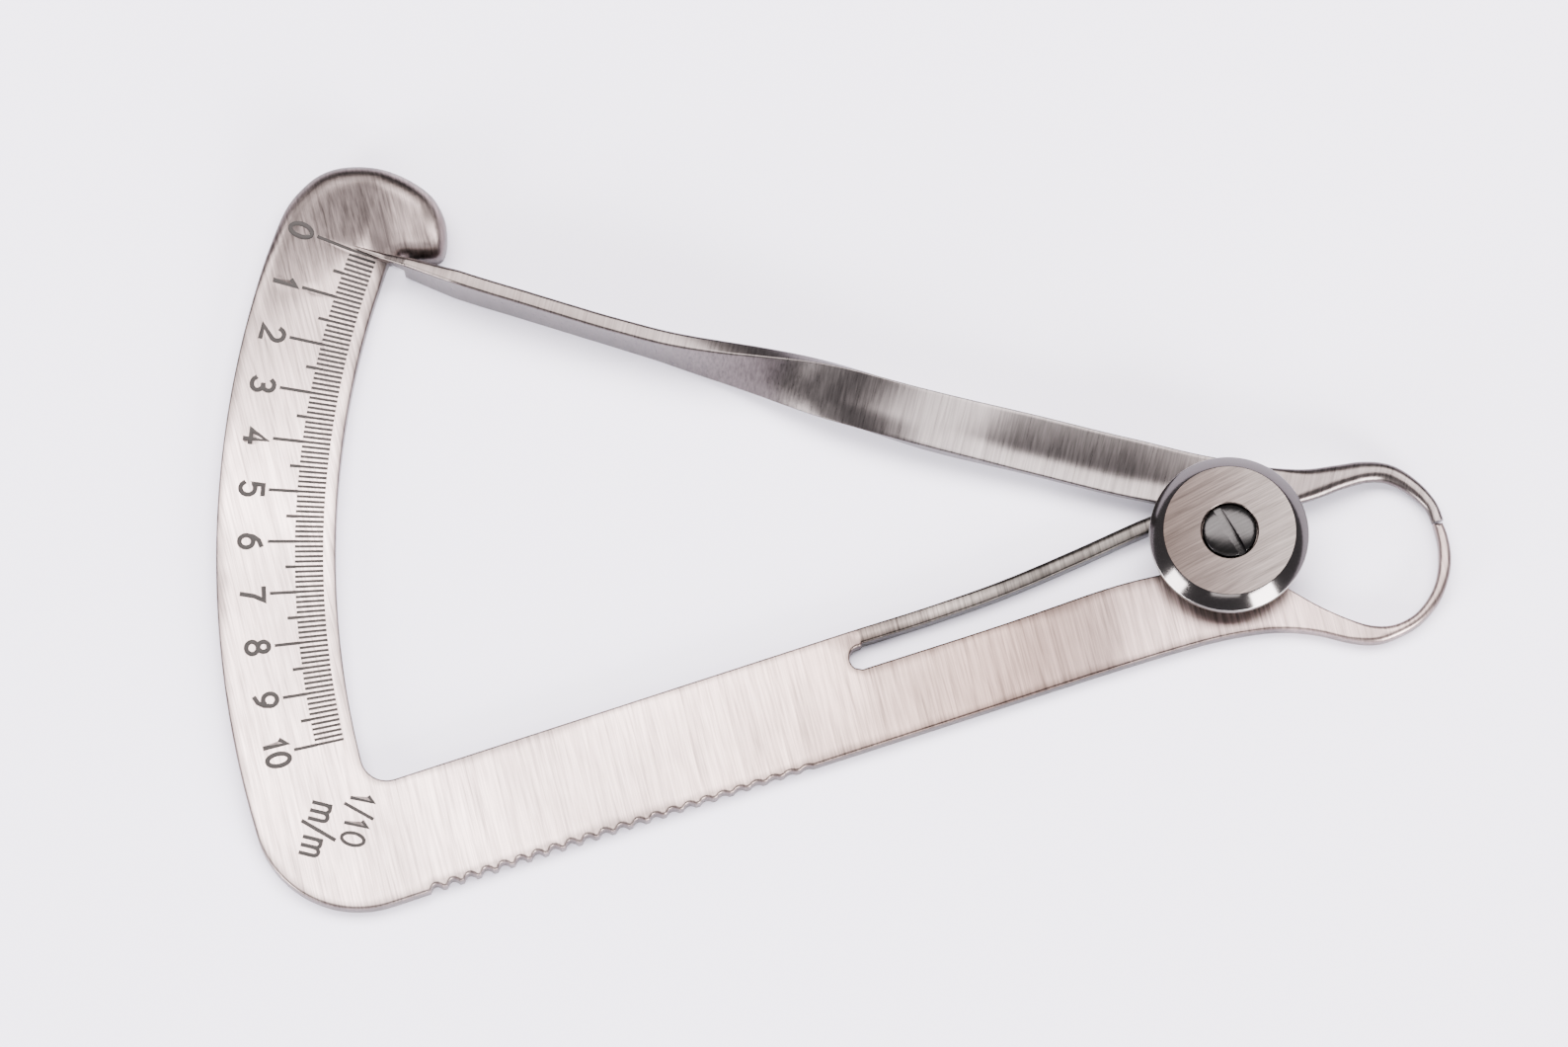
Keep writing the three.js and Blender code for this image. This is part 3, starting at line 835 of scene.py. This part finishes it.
def upper_points(outline, edges, rim, flat, strokes):
    """Mesh points of the upper side: rings along its edges, and grids between the strokes."""
    rings = shrunk_rings(outline, (0.08, 0.25, 0.55, 1.0, 1.35), edge_rounding(outline), RING_REACH)
    at_pad = outline[distance_to_sides(outline, rim[:-1], rim[1:]) < 0.05]
    pad_rings = shrunk_rings(at_pad, (0.06, 0.15, 0.45, 0.7, 1.0, 1.4), np.ones(len(at_pad)))
    grids = np.vstack([grid_inside(outline, edges, PAD_BOX, DOME_GRID, GRID_MARGIN), flat])
    grids = grids[engraved(grids, strokes, STROKE_MARGIN) == 0]
    return np.vstack([just_inside(np.vstack([rings, pad_rings]), outline, edges), grids])


def lower_points(outline, edges, flat):
    """Mesh points of the underside: rings along its edges, and grids."""
    rings = shrunk_rings(outline, (0.3, 0.65, 1.0), under_rounding(outline), RING_REACH)
    hollow = grid_inside(outline, edges, PAD_BOX, HOLLOW_GRID, HOLLOW_MARGIN)
    return np.vstack([just_inside(rings, outline, edges), hollow, flat])


def triangulated(outline, hole, points, borders):
    """Triangles that fill the outline round its hole and use all the points and borders."""
    loops = [outline, hole, *borders]
    edges = []
    start = 0
    for loop in loops:
        count = len(loop)
        edges += [(start + i, start + (i + 1) % count) for i in range(count)]
        start += count
    corners = [Vector(p) for p in np.vstack([*loops, points])]
    found, _, triangles, *_ = delaunay_2d_cdt(corners, edges, [], 0, 1e-5)
    found = np.array([tuple(p) for p in found])
    triangles = np.array(triangles)
    middle = found[triangles].mean(axis=1)
    kept = inside_outline(middle, outline) & ~inside_outline(middle, hole)
    return found, triangles[kept]


def side_walls(top, top_faces, under):
    """Faces between the borders of both sides, whose points lie one above the other."""
    def key(place):
        return (round(place[0], 4), round(place[1], 4))

    below = {key(place): len(top) + i for i, place in enumerate(under)}
    sides = {side for a, b, c in top_faces.tolist() for side in ((a, b), (b, c), (c, a))}
    borders = sorted(side for side in sides if side[::-1] not in sides)
    return [(b, a, below[key(top[a])], below[key(top[b])]) for a, b in borders]


def make_plate():
    outline = subdivided(plate_outline(), OUTLINE_STEP)
    hole = np.array(arc((0, 0), BORE_RADIUS, 0, 360, 72)[:-1])
    edges = free_edges(outline)
    rim = np.array(pad_rim())
    strokes = scale_strokes()
    flat = grid_inside(outline, edges, FLAT_BOX, FLAT_GRID, GRID_MARGIN)
    flat = flat[~inside_outline(flat, hole * 1.3)]

    points = upper_points(outline, edges, rim, flat, strokes)
    shares = (0.5, 0.5 * (1 - GROOVE_WALL))
    borders = [stroke_border(line, width * share) for line, width in strokes for share in shares]
    top, top_faces = triangulated(outline, hole, points, borders)
    top_depth = distance_to_sides(top, *edges)
    top_cut = engraved(top, strokes)
    top_height = SHEET - rounded_off(top_depth, edge_rounding(top)) + pad_height(top, rim, 0)
    top_height -= ENGRAVING_DEPTH * top_cut

    under, under_faces = triangulated(outline, hole, lower_points(outline, edges, flat), [])
    under_depth = distance_to_sides(under, *edges)
    under_height = rounded_off(under_depth, under_rounding(under))
    under_height += pad_height(under, rim, PAD_WALL)

    places = np.vstack([top, under])
    vertices = np.column_stack([places, np.concatenate([top_height, under_height])])
    faces = top_faces.tolist() + (under_faces[:, ::-1] + len(top)).tolist()
    faces += side_walls(top, top_faces, under)
    dark_from = 0.3                # share of the depth at which the filling starts
    dark = engraved(top[top_faces].mean(axis=1), strokes) > dark_from
    plate = mesh_object("plate_body", vertices, faces, [plate_steel, groove_dark],
                        sharp=38, dark_faces=np.flatnonzero(dark).tolist())
    crease_between(plate, set(np.flatnonzero((top_cut > 0)[top_faces].any(axis=1)).tolist()))
    # The jaw counts as far from any edge, so its edges aren't darkened, because it is rounded and
    # bright all over
    on_jaw = smoothstep(places[:, 0], 3.0, 9.0)
    note(plate, "edge_depth", np.concatenate([top_depth, under_depth]) + 2 * on_jaw)
    note(plate, "painted_shade", pad_dullness(places, rim))
    return plate


plate_body = make_plate()
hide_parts("scale_plate")
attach(plate_body, "frame")


# ---- Leaf spring ----
def leaf_section(ground):
    """Section of the leaf as (across, height) pairs, with one upper edge ground away."""
    inward, upward = 0.04, 0.035   # to the middle of the underside's roundings
    wide, deep = EDGE_TOP + ground, EDGE_TOP + ground * 0.25
    section = [
        (-LEAF_HALF, EDGE_UNDER), (-LEAF_HALF + inward, upward), (-LEAF_HALF + EDGE_UNDER, 0),
        (LEAF_HALF - EDGE_UNDER, 0), (LEAF_HALF - inward, upward), (LEAF_HALF, EDGE_UNDER),
    ]
    for turn in np.radians(np.linspace(0, 90, 6)):
        across = LEAF_HALF - wide * (1 - math.cos(turn))
        section.append((across, SHEET - deep * (1 - math.sin(turn))))
    section.append((0, SHEET))
    for turn in np.radians(np.linspace(90, 180, 6)):
        across = -LEAF_HALF + EDGE_TOP * (1 + math.cos(turn))
        section.append((across, SHEET - EDGE_TOP * (1 - math.sin(turn))))
    return section


def make_leaf():
    """The leaf is one with the plate: its root closes on the plate with the same section."""
    line = np.array(smooth_curve([
        LEAF_ROOT, (-25.5, -6.32), (-19.3, -4.05), (-13.2, -1.38), (-7.6, 1.22), (-5.5, 2.02),
        (-4.35, 2.18),
    ], 14))
    heading = np.gradient(line, axis=0)
    heading[0] = ALONG_ARM
    heading /= np.linalg.norm(heading, axis=1)[:, None]
    rings = []
    depths = []
    for place, ahead in zip(line, heading):
        side = np.array([-ahead[1], ahead[0]])
        section = leaf_section(0.5 * smoothstep(place[0], -27, -10))
        rings.append([(*(place + side * a), z) for a, z in section])
        depths += [LEAF_HALF - abs(a) for a, _ in section]
    vertices, faces = skin(rings)
    leaf = mesh_object("leaf_blade", vertices, faces, [leaf_steel])
    note(leaf, "edge_depth", depths)
    return leaf


leaf_blade = make_leaf()
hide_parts("leaf_spring")
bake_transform(leaf_blade)


# ---- Pointer arm ----
def arm_path():
    """Places along the arm about half a millimetre apart, closer round the beak's step."""
    knots = np.array(ARM_LINE)
    slopes = np.gradient(knots[:, 1], knots[:, 0])
    xs = [*np.arange(-74.9, -70.6, 0.25), -70.5, -70.43, -70.37, -70.3]
    xs += list(np.arange(-70, 11.8, 0.45))
    places = []
    for x in xs:
        i = int(np.clip(np.searchsorted(knots[:, 0], x) - 1, 0, len(knots) - 2))
        (x0, y0), (x1, y1) = knots[i], knots[i + 1]
        t = (x - x0) / (x1 - x0)
        y = y0 * (2 * t**3 - 3 * t**2 + 1) + y1 * (3 * t**2 - 2 * t**3)
        y += (x1 - x0) * (slopes[i] * (t**3 - 2 * t**2 + t) + slopes[i + 1] * (t**3 - t**2))
        places.append((x, y))
    # The jaw turns back in x, so its end is a curve of its own; its first span only guides it
    steps = 6
    return np.array(places + smooth_curve(ARM_LINE[-6:], steps)[steps:])


# Slope of the arm's upper face across its width, from the far edge to the near one
TROUGH_PLACES = (0, 0.6, 0.78, 1)
TROUGH_SLOPES = (8.5, 14.5, 1.5, -3)


def trough_drop(share, width):
    """How far the upper face has dropped at that share of the width from the far edge."""
    steps = np.linspace(0, share, 24)
    slopes = np.tan(np.radians(np.interp(steps, TROUGH_PLACES, TROUGH_SLOPES)))
    return float(slopes.mean() * share * width)


def strip_section(width, thickness, radius, dish):
    """Rounded strip section as (across, over) pairs. Its upper face is a shallow trough
    that falls to the near edge, or to the far edge where dish is negative."""
    half, rise = width / 2, thickness / 2
    radius = min(radius, half * 0.96, rise * 0.96)
    back = min(radius * 1.7, half * 0.96, rise * 0.96)
    near_drop = max(0, dish) * trough_drop(1, width)
    far_drop = max(0, -dish) * trough_drop(1, width)
    wide = max(radius, half * 0.94 * (radius / rise) ** 2)
    wide_back = max(back, wide)
    corners = [
        (half - wide, rise - radius - far_drop, wide, radius),
        (wide - half, rise - radius - near_drop, wide, radius),
        (wide - half, radius - rise, wide, radius),
        (half - wide_back, back - rise, wide_back, back),
    ]
    points = []
    for index, (a, b, r_across, r_over) in enumerate(corners):
        for turn in np.radians(np.linspace(index * 90, index * 90 + 90, 8)):
            points.append((a + r_across * math.cos(turn), b + r_over * math.sin(turn)))
        if index == 0:
            for share in np.linspace(0, 1, 21)[1:-1]:
                across = (half - wide) * (1 - 2 * share)
                points.append((across, rise - far_drop - dish * trough_drop(share, width)))
    return points


def make_arm():
    averaged = 0.9                 # half the stretch over which the table is averaged
    table = np.array(ARM_SECTIONS, float)
    path = arm_path()
    heading = np.gradient(path, axis=0)
    heading /= np.linalg.norm(heading, axis=1)[:, None]
    rings = []
    for (x, y), (ahead_x, ahead_y) in zip(path, heading):
        # The beak keeps its sharp step
        reach = averaged if x > PAD_END else 0
        near = np.linspace(x - reach, x + reach, 7)
        middle, width, thickness, roll, radius, dish = (
            np.interp(near, table[:, 0], table[:, k]).mean() for k in range(1, 7)
        )
        turn = math.radians(roll)
        ring = []
        for a, b in strip_section(width, thickness, radius, dish):
            across = a * math.cos(turn) - b * math.sin(turn)
            over = a * math.sin(turn) + b * math.cos(turn)
            ring.append((x - ahead_y * across, y + ahead_x * across, middle + over))
        rings.append(ring)
    vertices, faces = skin(rings)
    arm = mesh_object("arm_strip", vertices, faces, [arm_steel])
    low, high, edge = ARM_BASE + 0.01, ARM_TOP - 0.01, 0.12
    hub = turned("hub", [
        (0, low), (HUB_RADIUS - edge, low), (HUB_RADIUS, low + edge),
        (HUB_RADIUS, high - edge), (HUB_RADIUS - edge, high), (0, high),
    ], [arm_steel])
    combine(arm, hub, "UNION")
    radius = BORE_RADIUS + 0.03
    bore = turned("bore", [(0, 0), (radius, 0), (radius, 5), (0, 5)], [arm_steel])
    return combine(arm, bore, "DIFFERENCE")


arm_strip = make_arm()
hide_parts("pointer_arm")
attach(arm_strip, "pointer")


# ---- Pivot ----
def make_cap():
    """Disc with a brushed face, a polished bevel and a sunk seat for the screw."""
    face = CAP_RADIUS - CAP_BEVEL
    sunk = CAP_BASE + 0.75
    cap = turned("cap_disc", [
        (CAP_BORE, CAP_BASE), (CAP_RADIUS - 0.12, CAP_BASE), (CAP_RADIUS, CAP_BASE + 0.12),
        (CAP_RADIUS, CAP_TOP - CAP_BEVEL - 0.04), (CAP_RADIUS - 0.03, CAP_TOP - CAP_BEVEL),
        (face + 0.04, CAP_TOP - 0.035), (face - 0.02, CAP_TOP),
        (SEAT_RADIUS + 0.08, CAP_TOP), (SEAT_RADIUS, CAP_TOP - 0.08), (SEAT_RADIUS, sunk),
        (CAP_BORE, sunk),
    ], [cap_steel, bevel_steel, wall_steel], sharp=20)
    # The face, bevel and wall get the cap's lit and shaded copies of the steel
    for polygon in cap.data.polygons:
        out = math.hypot(polygon.center.x, polygon.center.y) / MM
        if out > CAP_RADIUS - 0.05:
            polygon.material_index = 2
        elif out > face - 0.01:
            polygon.material_index = 1
    return cap


def make_screw():
    """Raised countersunk head with a driving slot, on a plain shank."""
    seat = CAP_BASE + 0.77
    base = 0.85
    height = SCREW_CROWN - SCREW_EDGE
    dome = [
        (SCREW_RADIUS * math.sin(t), SCREW_EDGE + height * math.cos(t))
        for t in np.linspace(math.pi / 2, 0, 12)[:-1]
    ]
    screw = turned("screw_head", [
        (0, base), (SHANK_RADIUS, base), (SHANK_RADIUS, seat), (SCREW_RADIUS - 0.06, seat),
        (SCREW_RADIUS, seat + 0.06), *dome, (0, SCREW_CROWN),
    ], [screw_steel], segments=96)
    turn = math.radians(SLOT_ANGLE)
    along = np.array([math.cos(turn), math.sin(turn)])
    side = np.array([-along[1], along[0]])
    corners = [
        along * a * 3 + side * b * SLOT_WIDTH / 2
        for a, b in ((-1, -1), (1, -1), (1, 1), (-1, 1))
    ]
    floor_height, clear_height = 5.0, 6.2
    vertices, faces = skin([[(*c, z) for c in corners] for z in (floor_height, clear_height)])
    slot = mesh_object("slot", vertices, faces, [screw_steel])
    combine(screw, slot, "DIFFERENCE")
    return rounded_edges(screw, 0.035, 50)


cap_disc = make_cap()
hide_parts("pivot_cap")
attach(cap_disc, "frame")

screw_head = make_screw()
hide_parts("pivot_screw")
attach(screw_head, "frame")

barrel_turned = turned("barrel_turned", [
    (0, 0.05), (0.7, 0.0), (1.9, 0.02), (2.3, 0.06), (BARREL_RADIUS, 0.2),
    (BARREL_RADIUS, CAP_BASE - 0.1), (BARREL_RADIUS - 0.1, CAP_BASE),
    (THREAD_RADIUS, CAP_BASE), (THREAD_RADIUS, 0.6), (0, 0.6),
], [turned_steel])
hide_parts("pivot_barrel")
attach(barrel_turned, "frame")


def washer(name, radius, low, high):
    edge = 0.05
    return turned(name, [
        (WASHER_BORE, low), (radius - edge, low), (radius, low + edge), (radius, high - edge),
        (radius - edge, high), (WASHER_BORE, high),
    ], [turned_steel])


thrust_ring = washer("thrust_ring", THRUST_RADIUS, SHEET, ARM_BASE)
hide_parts("thrust_washer")
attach(thrust_ring, "frame")

spring_ring = washer("spring_ring", SPRING_RADIUS, ARM_TOP, CAP_BASE)
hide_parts("spring_washer")
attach(spring_ring, "frame")

stud_pin = turned("stud_pin", [
    (0, 0.3), (STUD_RADIUS - 0.12, 0.3), (STUD_RADIUS, 0.42), (STUD_RADIUS, ARM_BASE),
    (STUD_RADIUS, ARM_TOP - 0.12), (STUD_RADIUS - 0.08, ARM_TOP - 0.04), (0, ARM_TOP),
], [turned_steel], centre=STUD_CENTRE, segments=48)
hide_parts("spring_stud")
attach(stud_pin, "pointer")


# ---- Table, light and camera ----
table_top = plain("table_top", (0.80, 0.76, 0.87), 0.75)
half_table = 0.6
table = bpy.data.meshes.new("floor")
table.from_pydata([
    (-half_table, -half_table, 0), (half_table, -half_table, 0),
    (half_table, half_table, 0), (-half_table, half_table, 0),
], [], [(0, 1, 2, 3)])
table.materials.append(table_top)
floor = bpy.data.objects.new("floor", table)
floor.location.z = -0.00003        # just under the plate, so that no two faces coincide
bpy.context.scene.collection.objects.link(floor)

world = bpy.data.worlds.new("room")
bpy.context.scene.world = world
world.use_nodes = True
background = world.node_tree.nodes["Background"]
background.inputs["Color"].default_value = (0.96, 0.95, 1.0, 1)
background.inputs["Strength"].default_value = 0.5


def softbox(name, place, target, wide, high, radiance, colour=(1, 1, 1)):
    """A rectangular light of that even brightness, facing a point."""
    light = bpy.data.lights.new(name, "AREA")
    light.shape = "RECTANGLE"
    light.size = wide
    light.size_y = high
    light.energy = radiance * wide * high * math.pi
    light.color = colour
    lamp = bpy.data.objects.new(name, light)
    lamp.location = place
    lamp.rotation_euler = (Vector(target) - Vector(place)).to_track_quat("-Z", "Y").to_euler()
    bpy.context.scene.collection.objects.link(lamp)


middle = (-0.038, 0.0, 0.0)
softbox("overhead", (-0.038, 0.31, 0.74), middle, 1.5, 0.46, 18, (1.0, 0.98, 0.975))
softbox("left_card", (-0.83, -0.56, 0.2), middle, 0.34, 0.4, 62)
softbox("right_card", (0.58, -0.78, 0.22), middle, 0.42, 0.42, 80)
softbox("front_card", (-0.038, -0.87, 0.5), middle, 0.5, 0.13, 7)
softbox("front_high", (-0.038, -0.5, 0.66), middle, 1.1, 0.2, 1.5)

CAMERA_TILT = 15.5                 # degrees away from straight down
CAMERA_DISTANCE = 0.7445
camera = bpy.data.cameras.new("camera")
camera.lens = 200
camera.sensor_width = 36
viewer = bpy.data.objects.new("camera", camera)
tilt = math.radians(CAMERA_TILT)
aim = Vector((-0.03789, 0.00167, 0.0015))
viewer.location = aim + CAMERA_DISTANCE * Vector((0, -math.sin(tilt), math.cos(tilt)))
viewer.rotation_euler = (tilt, 0, 0)
bpy.context.scene.collection.objects.link(viewer)
bpy.context.scene.camera = viewer
